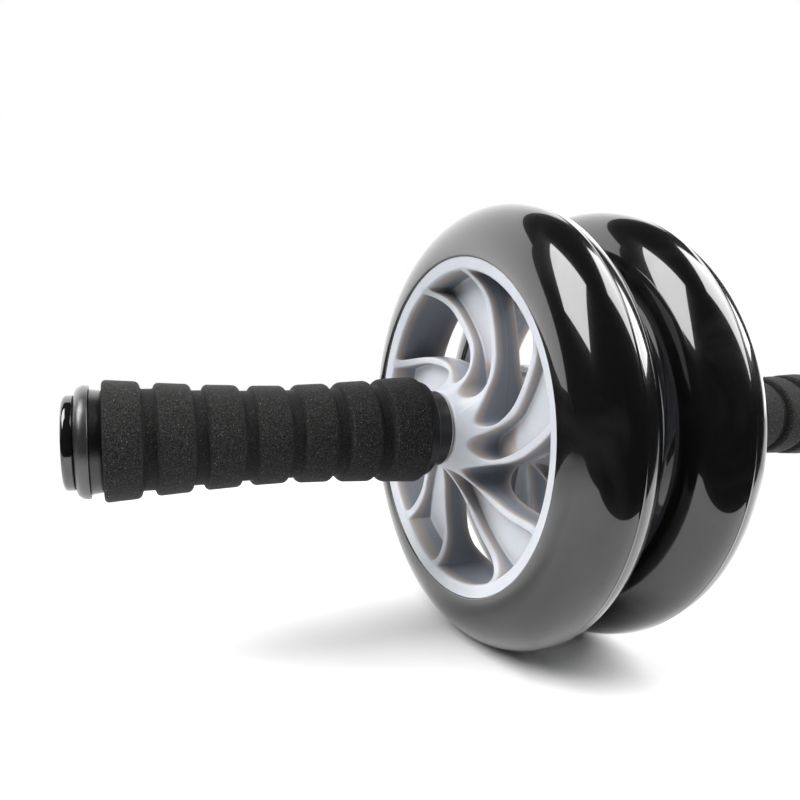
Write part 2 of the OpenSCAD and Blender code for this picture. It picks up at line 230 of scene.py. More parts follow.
def openingLoop(middle, spread, sideSpots, arcSteps):
    # closed outline of a window or a channel: minus side inwards, tip, plus side outwards, and back along the ring
    lean = math.atan(math.radians(rim["sweep"] / math.log(rim["ringInner"] / rim["sweepFrom"])))
    wall, corner = rim["ringWall"], rim["corner"]
    cuts = [corner / math.tan((math.pi / 2 + turn * lean) / 2) for turn in (-1, 1)]   # sharp corner, wide corner
    minus, plus = [
        [polar(r, middle + sweepAngle(r) + a) for r, a in sideSpots(way, spread, cut * math.cos(lean))]
        for way, cut in zip((-1, 1), cuts)
    ]
    ends = [middle + sweepAngle(wall) + way * halfArc(wall, spread) for way in (-1, 1)]
    inner = [ends[0] + math.degrees(cuts[0] / wall), ends[1] - math.degrees(cuts[1] / wall)]
    arc = [polar(wall, inner[1] + (inner[0] - inner[1]) * i / arcSteps) for i in range(arcSteps + 1)]

    def easedCorner(a, b, c):
        count = rim["cornerSteps"]
        spots = [i / (count + 1) for i in range(1, count + 1)]
        return [a * (1 - t) ** 2 + b * 2 * t * (1 - t) + c * t * t for t in spots]

    return (minus[:0:-1] + plus
            + easedCorner(plus[-1], polar(wall, ends[1]), arc[0]) + arc
            + easedCorner(arc[-1], polar(wall, ends[0]), minus[-1]))


def offsetLoop(loop, distance):
    out = []
    count = len(loop)
    for i, here in enumerate(loop):
        before = (here - loop[i - 1]).normalized()
        after = (loop[(i + 1) % count] - here).normalized()
        a, b = Vector((-before.y, before.x)), Vector((-after.y, after.x))
        out.append(here + (a + b) / (1 + a.dot(b)) * distance)
    # in a tight corner the outline crosses itself, and the points past the crossing meet there
    reach, shortest = rim["cornerSteps"] + 2, rim["shortest"]
    for i in range(-reach, count):
        for j in range(i + reach, i + 1, -1):
            a, b, c, d = (out[k % count] for k in (i, i + 1, j, j + 1))
            meet = geometry.intersect_line_line_2d(a, b, c, d)
            if meet and (b - a).length > shortest and (d - c).length > shortest:
                for k in range(i + 1, j + 1):
                    out[k % count] = meet
                break
    return out


def edgesOf(bm, row, closed=False):
    ends = row[1:] + row[:1] if closed else row[1:]
    return [bm.edges.get((a, b)) or bm.edges.new((a, b)) for a, b in zip(row, ends)]


def grow(bm, row, places, closed=False):
    # extrudes a row of vertices and sets the new row in place
    made = bmesh.ops.extrude_edge_only(bm, edges=edgesOf(bm, row, closed))["geom"]
    fresh = {v for v in made if isinstance(v, bmesh.types.BMVert)}
    nextRow = [next(e.other_vert(v) for e in v.link_edges if e.other_vert(v) in fresh) for v in row]
    for v, place in zip(nextRow, places):
        v.co = place
    return nextRow


def flat(v):
    return Vector((v.co.y, v.co.z)) / mm


def swirl(bm, row, endR, onTop):
    # rows that follow the spokes' spiral from this row to a circle of this radius
    spots = [(p.length, math.degrees(math.atan2(p.y, p.x)) - sweepAngle(p.length)) for p in map(flat, row)]
    for share in rim["swirlShares"]:
        radii = [r + (endR - r) * share for r, a in spots]
        row = grow(bm, row, [onTop(polar(r, a + sweepAngle(r))) for r, (_, a) in zip(radii, spots)])
    return row


def rimHalf(bm, side, hub):
    # the outer (side 1) or inner (side -1) face of one fifth of a rim, with its walls down to the mould line
    n = rim["mouthSteps"] + rim["sideSteps"]
    near, far = rim["nearSteps"], rim["farSteps"]
    edge, floorEdge, draft = rim["edge"], rim["floorEdge"], rim["draft"]

    def place(point, depth):
        return Vector((side * depth, point.x, point.y)) * mm

    def onTop(point, drop=0.0):
        return place(point, rimTop(point.length, hub) - drop)

    def turnRows(row, rows):
        for r, depth in rows:
            row = grow(bm, row, [place(flat(v).normalized() * r, depth) for v in row])

    window = openingLoop(pitch / 2, pitch - rim["ribSpread"], windowSide, rim["windowArc"])
    channel = openingLoop(0, rim["ribSpread"], channelSide, rim["channelArc"])
    lips, tops = [], []
    for loop in (window, channel):
        row = [bm.verts.new(onTop(p, edge)) for p in loop]
        lips.append(row)
        for out, drop in quarter[1:]:
            row = grow(bm, row, [onTop(p, edge * drop) for p in offsetLoop(loop, edge * out)], closed=True)
        tops.append(row)
    w, c = tops

    # window wall, to the mould line at the wheel's middle plane
    row = lips[0]
    for height, lean, rise, width in rim["wallRows"]:
        inset, depth = draft * lean + rim["mouldLine"] * rise, rim["mouldLineHalf"] * width
        row = grow(bm, row, [place(p, depth + height * (rimTop(q.length, hub) - edge))
                             for p, q in zip(offsetLoop(window, -inset), window)], closed=True)

    # channel wall, hollow corner and floor
    row = lips[1]
    web = rim["halfWeb"]
    steps = [(draft + floorEdge * out, web + floorEdge * drop) for out, drop in quarter]
    for inset, depth in steps + [(draft + floorEdge + rim["floorStep"], web)]:
        row = grow(bm, row, [place(p, depth) for p in offsetLoop(channel, -inset)], closed=True)
    bmesh.ops.contextual_create(bm, geom=edgesOf(bm, row, closed=True))

    # both ribs beside the window: a middle row on each, bridged to the window and to its channel
    turnBy = Matrix.Rotation(math.radians(pitch), 3, "X")
    nextC = [bm.verts.new(turnBy @ v.co) for v in c]     # the next channel's edge, merged when the fifths meet
    ribs = []
    for edgeRow, windowWay, steps in ((c[n + far:2 * n + 1], -1, far), (nextC[n - near::-1], 1, near)):
        windowRow = [w[n + windowWay * j] for j in range(steps, n + 1)]
        middle = []
        for a, b in zip(edgeRow, windowRow):
            p, q = flat(a), flat(b)
            middle.append(bm.verts.new(onTop((p + q).normalized() * (p.length + q.length) / 2)))
        for one, two in ((edgeRow, middle), (middle, windowRow)):
            bmesh.ops.bridge_loops(bm, edges=edgesOf(bm, one) + edgesOf(bm, two))
        ribs.append(middle)

    # cone of the hub: rows from the tips of the openings in to the bore
    row = (c[n:n + far + 1] + [ribs[0][0]] + w[n - far:n + near + 1] + [ribs[1][0]] + nextC[n - near:n + 1])
    hubRadii = [rim["hubR"] + d for d in rim["hubRows"]]
    row = swirl(bm, row, hubRadii[0], onTop)
    recessR, recess, boreR = rim["recessR"], hub - rim["recessDepth"], rim["boreR"]
    nick, bend = rim["nick"], rim["nickBend"]
    turnRows(row, [(r, rimTop(r, hub)) for r in hubRadii[1:]] + [
        (recessR + nick, hub), (recessR + bend, hub - bend), (recessR, hub - nick),
        (recessR, recess), (boreR + nick, recess), (boreR, recess - nick), (boreR, 0)])

    # ring: rows from the openings out to the tyre's groove
    row = ([c[0]] + c[:2 * n - 1:-1] + [ribs[0][-1]] + [w[0]] + w[:2 * n - 1:-1] + [ribs[1][-1]] + [nextC[0]])
    outR, ease = rim["ringOuter"], rim["ringEdge"]
    row = swirl(bm, row, outR - ease, onTop)
    lip, face = rim["ringHalf"] - rim["lipW"], rimTop(outR, hub)
    turnRows(row, [(outR - ease * drop, face - ease * out) for out, drop in quarter[1:]] + [
        (outR, lip), (rim["grooveR"], lip), (rim["grooveR"], 0)])


def markPaintedShade(bm):
    # how deep each vertex lies on a wall of a window or a channel, as an attribute from 0 to 1 for the painted glow
    # and painted shade in the finish
    layer = bm.verts.layers.float.new("wallDepth")
    bm.normal_update()
    deep = walls["deep"]
    for v in bm.verts:
        r = flat(v).length
        if rim["hubR"] + rim["hubRows"][0] < r < rim["ringWall"] + walls["past"]:
            depth = rimTop(r, rim["hubOut"]) - abs(v.co.x) / mm
            steep = within(walls["steepFrom"] - walls["steepSlope"] * abs(v.normal.x))
            # painted shade on the floors of deep channels beside the hub
            pocketShade = within((depth - deep) / deep, walls["pocketMost"]) if r < rim["widenR"] else 0
            v[layer] = max(within(depth / deep) * steep, pocketShade)


def wheelRim(side, turn):
    bm = bmesh.new()
    spokes = rim["spokes"]
    rimHalf(bm, 1, rim["hubOut"])
    rimHalf(bm, -1, rim["hubIn"])
    bmesh.ops.remove_doubles(bm, verts=bm.verts, dist=weld["half"])
    bmesh.ops.spin(bm, geom=bm.verts[:] + bm.edges[:] + bm.faces[:], cent=(0, 0, 0), axis=(1, 0, 0),
                   dvec=(0, 0, 0), angle=2 * math.pi * (1 - 1 / spokes), steps=spokes - 1, use_duplicate=True)
    bmesh.ops.remove_doubles(bm, verts=bm.verts, dist=weld["fifth"])
    bmesh.ops.recalc_face_normals(bm, faces=bm.faces)
    markPaintedShade(bm)
    # the CAD counts a wheel's turn from straight down towards +Y, and the fifth counts its angles from +Y
    stand = Matrix.Rotation(math.radians(turn - 90), 3, "X")
    bmesh.ops.rotate(bm, verts=bm.verts, cent=(0, 0, 0), matrix=stand)
    bmesh.ops.scale(bm, verts=bm.verts, vec=(side, 1, 1))
    bmesh.ops.translate(bm, verts=bm.verts, vec=(side * rim["middle"] * mm, 0, 0))
    bmesh.ops.recalc_face_normals(bm, faces=bm.faces)
    return bm


# tyres: one hollow section, turned round the axle

tyre = {
    "midR": 72, "crown": 18, "halfW": 15.6, "wall": 4.5,
    "lipR": 68.64, "toeR": 66.64, "toeX": 11.86, "lipEdge": 0.45,
    "seam": ((0.2, -0.002), (0.1, 0.048), (0, 0.06), (-0.1, 0.048), (-0.2, -0.002)),   # the mould's parting line
    "outerSteps": 64, "innerSteps": 20, "turns": 288,
}


def oval(halfW, crown, footR, steps):
    # the part of an oval section outside this radius, from one side over the crown to the other
    start = math.degrees(math.asin((footR - tyre["midR"]) / crown))
    angles = [math.radians(start + (180 - 2 * start) * i / steps) for i in range(steps + 1)]
    return [(halfW * math.cos(a), tyre["midR"] + crown * math.sin(a)) for a in angles]


def tyreSection(side):
    lipR, toeR, toeX, edge = tyre["lipR"], tyre["toeR"], tyre["toeX"], tyre["lipEdge"]
    outer = []
    for x, r in oval(tyre["halfW"], tyre["crown"], lipR, tyre["outerSteps"]):
        atCrown = abs(x) < tyre["seam"][0][0]
        outer += [(dx, r + rise) for dx, rise in tyre["seam"]] if atCrown else [(x, r)]
    wall = tyre["wall"]
    inner = oval(tyre["halfW"] - wall, tyre["crown"] - wall, toeR, tyre["innerSteps"])
    # the bead's outer edge is rolled over beside the ring
    lip = [(outer[0][0] - edge * drop, lipR + edge * out) for out, drop in quarter]
    section = (lip + outer[2:-2] + mirrored(lip, -1)[::-1]
               + [(-toeX, lipR), (-toeX, toeR)] + inner[::-1] + [(toeX, toeR), (toeX, lipR)])
    return [(side * (rim["middle"] + x), r) for x, r in section]


# grips: seven foam bands with rounded edges, a little uneven like real foam

foam = {
    "start": 53.95, "length": 115.4, "bore": 13.02,
    "bands": 7, "firstGroove": 17.2, "pitch": 16.75, "grooveHalf": 2.35, "grooveH": 1.8, "wallLean": 0.35,
    "midR": 18.25, "outerRise": 2.75, "innerRise": 3.0, "curve": 1.6, "follow": 0.8,
    "startEdge": 1.9, "stopEdge": 1.6, "endEdge": 1.4, "grooveEdge": 0.7, "edgeSteps": 6,
    "step": 0.7, "turns": 168, "slack": 0.01, "plainBore": 1,
    "swell": 0.06, "swellSize": 14, "lumps": 0.035, "lumpSize": 3.2, "seed": (3.1, 7.7, 1.3),
}


def bandRadius(x):
    t = 2 * x / foam["length"] - 1
    return foam["midR"] + (foam["outerRise"] if t > 0 else foam["innerRise"]) * abs(t) ** foam["curve"]


def foamOutline():
    half, lean = foam["grooveHalf"], foam["wallLean"]
    grooves = [foam["firstGroove"] + i * foam["pitch"] for i in range(foam["bands"] - 1)]
    starts = [0] + [x + half for x in grooves]
    stops = [x - half for x in grooves] + [foam["length"]]
    middles = [(start + stop) / 2 for start, stop in zip(starts, stops)]
    floors = [min(bandRadius(a), bandRadius(b)) - foam["grooveH"] for a, b in zip(middles, middles[1:])]
    corners = [(0, foam["bore"], 0)]
    for i, (start, middle, stop) in enumerate(zip(starts, middles, stops)):
        # a band's top follows the grip's curve
        slope = (bandRadius(middle + 1) - bandRadius(middle - 1)) / 2 * foam["follow"]
        for x, edge, groove, way in ((start, foam["startEdge"], i - 1, 1), (stop, foam["stopEdge"], i, -1)):
            top = bandRadius(middle) + slope * (x - middle)
            if 0 <= groove < len(floors):
                pair = [(x - way * lean, floors[groove], foam["grooveEdge"]), (x + way * lean, top, edge)]
                corners += pair[::way]
            else:
                corners.append((x, top, foam["endEdge"]))
    corners.append((foam["length"], foam["bore"], 0))
    return rounded(corners, foam["edgeSteps"])


def filled(outline, step):
    # the same outline with points no further apart than one step
    out = []
    for a, b in zip(outline, outline[1:] + outline[:1]):
        count = max(1, math.ceil((Vector(b) - Vector(a)).length / step))
        out += [tuple(Vector(a).lerp(Vector(b), i / count)) for i in range(count)]
    return out


def foamGrip(side):
    bore, slack = foam["bore"], foam["slack"]
    # the bore needs no rows of its own between its two ends
    surface = [(x, r) for x, r in filled(foamOutline(), foam["step"])
               if r > bore + slack or not slack <= x <= foam["length"] - slack]
    bm = turned([(side * (foam["start"] + x), r) for x, r in surface], foam["turns"])
    seed = Vector(foam["seed"])
    seed.x *= side
    sunk = bm.verts.layers.float.new("sunk")     # depth in a groove from 0 to 1, for the painted shade in the grooves
    for v in bm.verts:
        r = math.hypot(v.co.y, v.co.z)
        if r < (bore + foam["plainBore"]) * mm:
            continue
        below = bandRadius(abs(v.co.x) / mm - foam["start"]) - r / mm
        v[sunk] = within(below / foam["grooveH"])
        broad = noise.noise(v.co / (foam["swellSize"] * mm) + seed)
        fine = noise.noise(v.co / (foam["lumpSize"] * mm) - seed)
        outwards = Vector((0, v.co.y, v.co.z)) / r
        v.co += outwards * (foam["swell"] * broad + foam["lumps"] * fine) * mm
    return bm


# handles: moulded core, end ring and end cap, each one turned section

handle = {
    "bore": 6.02, "hollowIn": 8.02, "hollowOut": 11, "hollowEndX": 158.35,
    "sleeveX": 43.25, "sleeveR": 15.2, "collarX": 49.95, "collarR": 19,
    "foamX": 53.95, "tubeR": 13, "neckX": 169.35, "neckR": 17.3, "neckEndR": 17.8, "endRingX": 173.35,
    "mouthR": 10.52, "seatX": 164.35, "screwHole": 3.02, "axleEndX": 161.35,
    "nick": 0.2, "edge": 0.3, "faceEdge": 0.35, "rootEdge": 0.5, "collarEdge": 1.0, "neckEdge": 0.25,
    "screwEdge": 0.15, "edgeSteps": 5, "turns": 192,
}
endRing = {
    "x": 173.35, "thick": 4.4, "outer": 19.15, "bore": 10.52,
    "edge": 3.2, "backEdge": 0.35, "nick": 0.25, "edgeSteps": 14,
}
endCap = {
    "x": 177.75, "thick": 3.8, "outer": 16.2, "edge": 1.55, "backEdge": 0.9,
    "dish": 0.25, "dishFrom": 1.6, "dishTo": 2.2, "dishEdge": 0.4,
    "skirtR": 10.48, "skirtL": 9, "skirtWall": 2, "skirtEdge": 0.5, "skirtInEdge": 0.3, "seatEdge": 0.1,
    "edgeSteps": 7,
}


def coreSection():
    h = handle
    return rounded([
        (h["sleeveX"], h["bore"], h["nick"]), (h["sleeveX"], h["hollowIn"], h["nick"]),
        (h["hollowEndX"], h["hollowIn"], h["edge"]), (h["hollowEndX"], h["hollowOut"], h["edge"]),
        (h["sleeveX"], h["hollowOut"], h["nick"]), (h["sleeveX"], h["sleeveR"], h["faceEdge"]),
        (h["collarX"], h["sleeveR"], h["rootEdge"]), (h["collarX"], h["collarR"], h["collarEdge"]),
        (h["foamX"], h["collarR"], h["faceEdge"]), (h["foamX"], h["tubeR"], 0),
        (h["neckX"], h["tubeR"], 0), (h["neckX"], h["neckR"], h["neckEdge"]),
        (h["endRingX"], h["neckEndR"], h["edge"]), (h["endRingX"], h["mouthR"], h["nick"]),
        (h["seatX"], h["mouthR"], h["edge"]), (h["seatX"], h["screwHole"], h["screwEdge"]),
        (h["axleEndX"], h["screwHole"], 0), (h["axleEndX"], h["bore"], 0),
    ], h["edgeSteps"])


def endRingSection():
    e = endRing
    front = e["x"] + e["thick"]
    return rounded([
        (e["x"], e["bore"], e["nick"]), (e["x"], e["outer"], e["backEdge"]),
        (front, e["outer"], e["edge"]), (front, e["bore"], e["nick"]),
    ], e["edgeSteps"])


def endCapSection():
    c = endCap
    face, skirt = c["x"] + c["thick"], c["x"] - c["skirtL"]
    dish, rimR, skirtIn = face - c["dish"], c["outer"] - c["edge"], c["skirtR"] - c["skirtWall"]
    return rounded([
        (skirt, skirtIn, c["skirtInEdge"]), (skirt, c["skirtR"], c["skirtEdge"]),
        (c["x"], c["skirtR"], c["seatEdge"]), (c["x"], c["outer"], c["backEdge"]), (face, c["outer"], c["edge"]),
        (face, rimR - c["dishFrom"], c["dishEdge"]), (dish, rimR - c["dishTo"], c["dishEdge"]),
        (dish, 0, 0), (c["x"], 0, 0), (c["x"], skirtIn, c["dishEdge"]),
    ], c["edgeSteps"])


# node helpers, for the materials and the studio

def give(tree, socket, value):
    # sets a socket to a value, or links it to another node's output
    if isinstance(value, bpy.types.NodeSocket):
        tree.links.new(value, socket)
    else:
        socket.default_value = value


def newNode(tree, kind, inputs=None, **settings):
    made = tree.nodes.new(kind)
    for key, value in settings.items():
        setattr(made, key, value)
    for name, value in (inputs or {}).items():
        give(tree, made.inputs[name], value)
    return made


def calc(tree, kind, *values):
    made = newNode(tree, "ShaderNodeMath", operation=kind)
    for socket, value in zip(made.inputs, values):
        give(tree, socket, value)
    return made.outputs[0]


def ranged(tree, source, low, high, fromLow=0, fromHigh=1):
    return newNode(tree, "ShaderNodeMapRange", {
        "Value": source, "From Min": fromLow, "From Max": fromHigh, "To Min": low, "To Max": high,
    }).outputs["Result"]


def mixedShaders(tree, mask, one, two):
    made = newNode(tree, "ShaderNodeMixShader")
    for socket, source in zip(made.inputs, (mask, one, two)):
        give(tree, socket, source)
    return made.outputs[0]


# materials

span, tightSpan = (0.3, 0.7), (0.35, 0.65)   # where the values of a noise lie, and where most of them do
shared = {"grainRough": 0.62, "wipeDetail": 5, "wipeBend": 1.2, "wipeSpan": (0.55, 0.75)}   # for the node groups

# a grain has a scale and a detail, and a bump has a depth in metres and a strength
finish = {
    "rim": {
        "colour": (0.533, 0.555, 0.6), "shade": (0.507, 0.529, 0.574), "speck": (0.42, 0.44, 0.48),
        "warm": (0.44, 0.375, 0.32), "warmSpan": (0.05, 0.3),     # painted glow, just under an edge
        "deep": (0.2, 0.218, 0.255), "deepSpan": (0.15, 0.75),    # painted shade, further in
        "specks": 0.5, "rough": (0.31, 0.43), "wiped": 0.06,
        "grain": (1700, 3), "clouds": (90, 2), "bump": (0.00002, 0.5),
        "marks": {"Speck_Scale": 150, "Speck_Size": 0.1, "Speck_Share": 0.12, "Wipe_Scale": 40},
        "shader": {"IOR": 1.46, "Subsurface_Weight": 0.3, "Subsurface_Radius": (1.0, 0.38, 0.18),
                   "Subsurface_Scale": 0.0025},
    },
    "tyre": {
        "colour": (0.0045, 0.0045, 0.0048), "smudge": (0.016, 0.016, 0.0165), "smudged": 0.8, "coat": (1, 0.84),
        "rough": (0.18, 0.23), "specks": 0.35, "wiped": 0.05, "grain": (1500, 2), "waves": (120, 1),
        "waveBump": (0.00012, 0.12), "speckBump": (0.00006, 0.4),
        "marks": {"Speck_Scale": 300, "Speck_Size": 0.14, "Speck_Share": 0.05, "Wipe_Scale": 30},
        "shader": {"IOR": 1.28, "Specular_IOR_Level": 0.3, "Coat_Weight": 1.0, "Coat_IOR": 1.57,
                   "Coat_Roughness": 0.035},
    },
    "foam": {
        "colour": (0.0015, 0.0015, 0.0014), "mid": (0.068, 0.066, 0.064), "pale": (0.13, 0.126, 0.122),
        # the grooves get painted shade, up to this share of the darkest colour
        "poreSpan": (0.44, 0.74), "coarse": (0.85, 1.1), "rough": (0.6, 0.85), "sunk": 0.42, "sunkSpan": (0.35, 1),
        "pores": (2500, 2), "clumps": (500, 2), "bump": (0.0005, 0.7),
        "marks": {"Speck_Scale": 2000, "Speck_Size": 0.38, "Speck_Share": 0.018},
        "shader": {"IOR": 1.35, "Specular_IOR_Level": 0.3},
    },
    "core": {"colour": (0.004, 0.004, 0.0043), "rough": 0.33, "grain": (1300, 3), "depth": 0.00003, "ior": 1.52},
    "endRing": {"colour": (0.015, 0.015, 0.0158), "rough": 0.34, "grain": (1100, 3), "depth": 0.00006, "ior": 1.74},
    "endCap": {"colour": (0.006, 0.0058, 0.0058), "rough": 0.07, "grain": (900, 3), "depth": 0.00001, "ior": 1.72},
    "dark": {
        "roughLow": 0.85, "roughHigh": 1.2, "wiped": 0.6, "wipeTint": 1.5, "wipeLift": 0.001, "specks": 0.25,
        "strength": 0.5, "marks": {"Speck_Scale": 260, "Speck_Size": 0.12, "Speck_Share": 0.06, "Wipe_Scale": 45},
    },
    "bush": {
        "colour": (0.74, 0.72, 0.66), "shade": (0.68, 0.66, 0.60), "rough": (0.28, 0.4), "grain": (700, 3),
        "bump": (0.00003, 0.4),
        "shader": {"IOR": 1.48, "Subsurface_Weight": 0.15, "Subsurface_Radius": (1, 0.8, 0.6),
                   "Subsurface_Scale": 0.001},
    },
    "steel": {
        "colour": (0.56, 0.56, 0.55), "shade": (0.44, 0.44, 0.44), "rough": (0.22, 0.4), "lines": (90, 5),
        "stretch": (60, 1, 1), "bump": (0.00002, 0.35),
    },
}


def group(name, inputs, outputs):
    # a node group that takes a vector and named values, and puts out masks or heights
    tree = bpy.data.node_groups.new(name, "ShaderNodeTree")
    tree.interface.new_socket(name="Vector", in_out="INPUT", socket_type="NodeSocketVector")
    for label, value in inputs.items():
        socket = tree.interface.new_socket(name=label, in_out="INPUT", socket_type="NodeSocketFloat")
        socket.default_value = value
    for label in outputs:
        tree.interface.new_socket(name=label, in_out="OUTPUT", socket_type="NodeSocketFloat")
    return tree, tree.nodes.new("NodeGroupInput").outputs, tree.nodes.new("NodeGroupOutput").inputs


def makeGrain():
    # the height of a fine moulded or worn-in grain
    tree, given, result = group("fineGrain", {"Scale": 900, "Detail": 4}, ["Height"])
    texture = newNode(tree, "ShaderNodeTexNoise", {
        "Vector": given["Vector"], "Scale": given["Scale"], "Detail": given["Detail"],
        "Roughness": shared["grainRough"]})
    give(tree, result["Height"], texture.outputs["Fac"])
    return tree


def makeDust():
    # scattered specks and faint wiped patches, each as a mask from 0 to 1
    tree, given, result = group(
        "dustAndWipes", {"Speck Scale": 260, "Speck Size": 0.12, "Speck Share": 0.25, "Wipe Scale": 16},
        ["Specks", "Wipes"])
    cells = newNode(tree, "ShaderNodeTexVoronoi", {"Vector": given["Vector"], "Scale": given["Speck Scale"]})
    split = newNode(tree, "ShaderNodeSeparateColor", {"Color": cells.outputs["Color"]})
    near = calc(tree, "LESS_THAN", cells.outputs["Distance"], given["Speck Size"])
    chosen = calc(tree, "LESS_THAN", split.outputs["Red"], given["Speck Share"])
    give(tree, result["Specks"], calc(tree, "MULTIPLY", near, chosen))
    broad = newNode(tree, "ShaderNodeTexNoise", {
        "Vector": given["Vector"], "Scale": given["Wipe Scale"],
        "Detail": shared["wipeDetail"], "Distortion": shared["wipeBend"]})
    give(tree, result["Wipes"], ranged(tree, broad.outputs["Fac"], 0, 1, *shared["wipeSpan"]))
    return tree


grain, dust = makeGrain(), makeDust()


def spaced(values):
    # sockets by name, with a space for each underscore
    return {key.replace("_", " "): value for key, value in values.items()}


class Finish:
    # a material with its Principled shader, and short ways to add nodes to it
    def __init__(self, name):
        self.material = bpy.data.materials.new(name)
        self.material.use_nodes = True
        self.tree = self.material.node_tree
        self.shader = self.tree.nodes["Principled BSDF"]
        self.place = newNode(self.tree, "ShaderNodeTexCoord").outputs["Object"]

    def grain(self, scale, detail):
        return self.effect(grain, Scale=scale, Detail=detail).outputs["Height"]

    def marks(self, values):
        made = self.effect(dust, **values)
        return made.outputs["Specks"], made.outputs["Wipes"]

    def effect(self, tree, **values):
        return newNode(self.tree, "ShaderNodeGroup", {"Vector": self.place, **spaced(values)}, node_tree=tree)

    def attribute(self, name):
        return newNode(self.tree, "ShaderNodeAttribute", attribute_name=name).outputs["Fac"]

    def ranged(self, *values):
        return ranged(self.tree, *values)

    def calc(self, kind, *values):
        return calc(self.tree, kind, *values)

    def mixed(self, mask, one, two):
        made = newNode(self.tree, "ShaderNodeMix", {"Factor": mask}, data_type="RGBA")
        for name, colour in (("A", one), ("B", two)):
            socket = next(s for s in made.inputs if s.name == name and s.type == "RGBA")
            give(self.tree, socket, colour if isinstance(colour, bpy.types.NodeSocket) else (*colour, 1))
        return next(s for s in made.outputs if s.type == "RGBA")

    def bump(self, height, distance, strength, before=None):
        made = newNode(self.tree, "ShaderNodeBump", {"Height": height, "Distance": distance, "Strength": strength})
        if before:
            give(self.tree, made.inputs["Normal"], before)
        return made.outputs["Normal"]

    def feed(self, **values):
        for name, value in spaced(values).items():
            give(self.tree, self.shader.inputs[name], value)


def rimPlastic(p):
    f = Finish("rim_plastic")
    skin, clouds = f.grain(*p["grain"]), f.grain(*p["clouds"])
    specks, wipes = f.marks(p["marks"])
    tone = f.mixed(f.ranged(clouds, 0, 1, *tightSpan), p["colour"], p["shade"])
    # painted light and shade on the walls: a warm painted glow just under an edge, as of light through the thin
    # plastic, and painted shade further in
    deep = f.attribute("wallDepth")
    tone = f.mixed(f.ranged(deep, 0, 1, *p["warmSpan"]), tone, p["warm"])
    tone = f.mixed(f.ranged(deep, 0, 1, *p["deepSpan"]), tone, p["deep"])
    rough = f.calc("ADD", f.ranged(skin, *p["rough"], *span), f.ranged(wipes, 0, p["wiped"]))
    f.feed(Base_Color=f.mixed(f.ranged(specks, 0, p["specks"]), tone, p["speck"]), Roughness=rough,
           Normal=f.bump(skin, *p["bump"]), **p["shader"])
    return f.material


def tyreGloss(p):
    f = Finish("tyre_gloss")
    waves, skin = f.grain(*p["waves"]), f.grain(*p["grain"])
    specks, wipes = f.marks(p["marks"])
    f.feed(**p["shader"])
    rough = f.calc("ADD", f.ranged(skin, *p["rough"], *span), f.ranged(specks, 0, p["specks"]))
    normal = f.bump(waves, *p["waveBump"])
    f.feed(Base_Color=f.mixed(f.ranged(wipes, 0, p["smudged"]), p["colour"], p["smudge"]),
           Coat_Weight=f.ranged(wipes, *p["coat"]),
           Roughness=f.calc("ADD", rough, f.ranged(wipes, 0, p["wiped"])),
           Normal=f.bump(specks, *p["speckBump"], normal))
    return f.material


def gripFoam(p):
    f = Finish("grip_foam")
    pores, clumps = f.grain(*p["pores"]), f.grain(*p["clumps"])
    specks = f.effect(dust, **p["marks"]).outputs["Specks"]
    shade = f.calc("MULTIPLY", f.ranged(pores, 0, 1, *p["poreSpan"]), f.ranged(clumps, *p["coarse"], *span))
    tone = f.mixed(specks, f.mixed(shade, p["colour"], p["mid"]), p["pale"])
    # painted shade in the grooves: the colour turns darker with depth in a groove
    sunk = f.ranged(f.attribute("sunk"), 0, p["sunk"], *p["sunkSpan"])
    f.feed(Base_Color=f.mixed(sunk, tone, p["colour"]), Roughness=f.ranged(pores, *p["rough"], *tightSpan),
           Normal=f.bump(pores, *p["bump"]), **p["shader"])
    return f.material


def darkPlastic(name, p):
    f, d = Finish(name), finish["dark"]
    skin = f.grain(*p["grain"])
    specks, wipes = f.marks(d["marks"])
    wiped = tuple(c * d["wipeTint"] + d["wipeLift"] for c in p["colour"])
    rough = f.ranged(skin, p["rough"] * d["roughLow"], p["rough"] * d["roughHigh"], *span)
    f.feed(Base_Color=f.mixed(f.ranged(wipes, 0, d["wiped"]), p["colour"], wiped),
           Roughness=f.calc("ADD", rough, f.ranged(specks, 0, d["specks"])),
           Normal=f.bump(skin, p["depth"], d["strength"]), IOR=p["ior"])
    return f.material


def bushPlastic(p):
    f = Finish("bush_plastic")
    skin = f.grain(*p["grain"])
    f.feed(Base_Color=f.mixed(f.ranged(skin, 0, 1, *tightSpan), p["colour"], p["shade"]),
           Roughness=f.ranged(skin, *p["rough"], *span), Normal=f.bump(skin, *p["bump"]), **p["shader"])
    return f.material


def turnedSteel(p):
    # fine lathe lines round the axle, from Object coordinates stretched along X
    f = Finish("turned_steel")
    f.place = newNode(f.tree, "ShaderNodeMapping", {"Vector": f.place, "Scale": p["stretch"]}).outputs["Vector"]
    lines = f.grain(*p["lines"])
    f.feed(Base_Color=f.mixed(f.ranged(lines, 0, 1, *span), p["colour"], p["shade"]),
           Roughness=f.ranged(lines, *p["rough"], *span), Normal=f.bump(lines, *p["bump"]), Metallic=1.0)
    return f.material


materials = {
    "rim_plastic": rimPlastic(finish["rim"]), "tyre": tyreGloss(finish["tyre"]), "foam": gripFoam(finish["foam"]),
    "handle_plastic": darkPlastic("core_plastic", finish["core"]),
    "end_ring_rubber": darkPlastic("end_ring_rubber", finish["endRing"]),
    "cap_plastic": darkPlastic("cap_plastic", finish["endCap"]),
    "bush_plastic": bushPlastic(finish["bush"]), "steel": turnedSteel(finish["steel"]),
}
print("materials made")


# pieces of both sides

